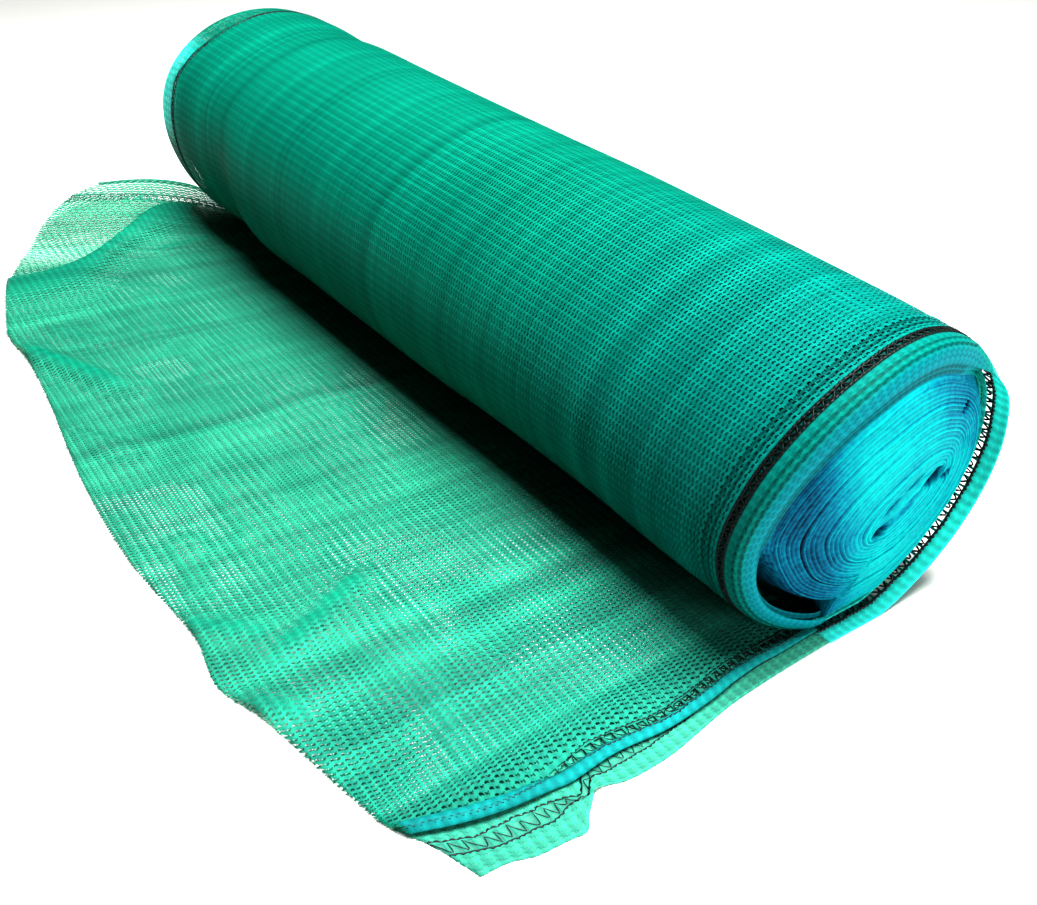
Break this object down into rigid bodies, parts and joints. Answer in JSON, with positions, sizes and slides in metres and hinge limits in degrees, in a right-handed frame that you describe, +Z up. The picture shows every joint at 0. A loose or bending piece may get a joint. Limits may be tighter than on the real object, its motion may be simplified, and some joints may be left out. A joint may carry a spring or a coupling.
{
  "type": "roll of debris netting",
  "caption": "Roll of green warp-knitted debris netting, folded double and wound on itself, lying on its side with its loose cut end spread out on the floor.",
  "frame": {"origin": "on the floor, in the flat spot under the middle of the roll", "axes": "+X along the roll to its near end, with the free selvedges; -Y from the roll to the cut end of the loose net; +Z up"},
  "size_m": [1.0545, 0.4535, 0.2205],
  "materials": {
    "wound_net": "warp-knitted polyethylene net, many turns deep",
    "loose_net": "warp-knitted polyethylene net, two layers, partly see-through"
  },
  "bodies": {
    "root": {"wound_roll": "wound_net", "loose_end": "loose_net"}
  },
  "joints": []
}
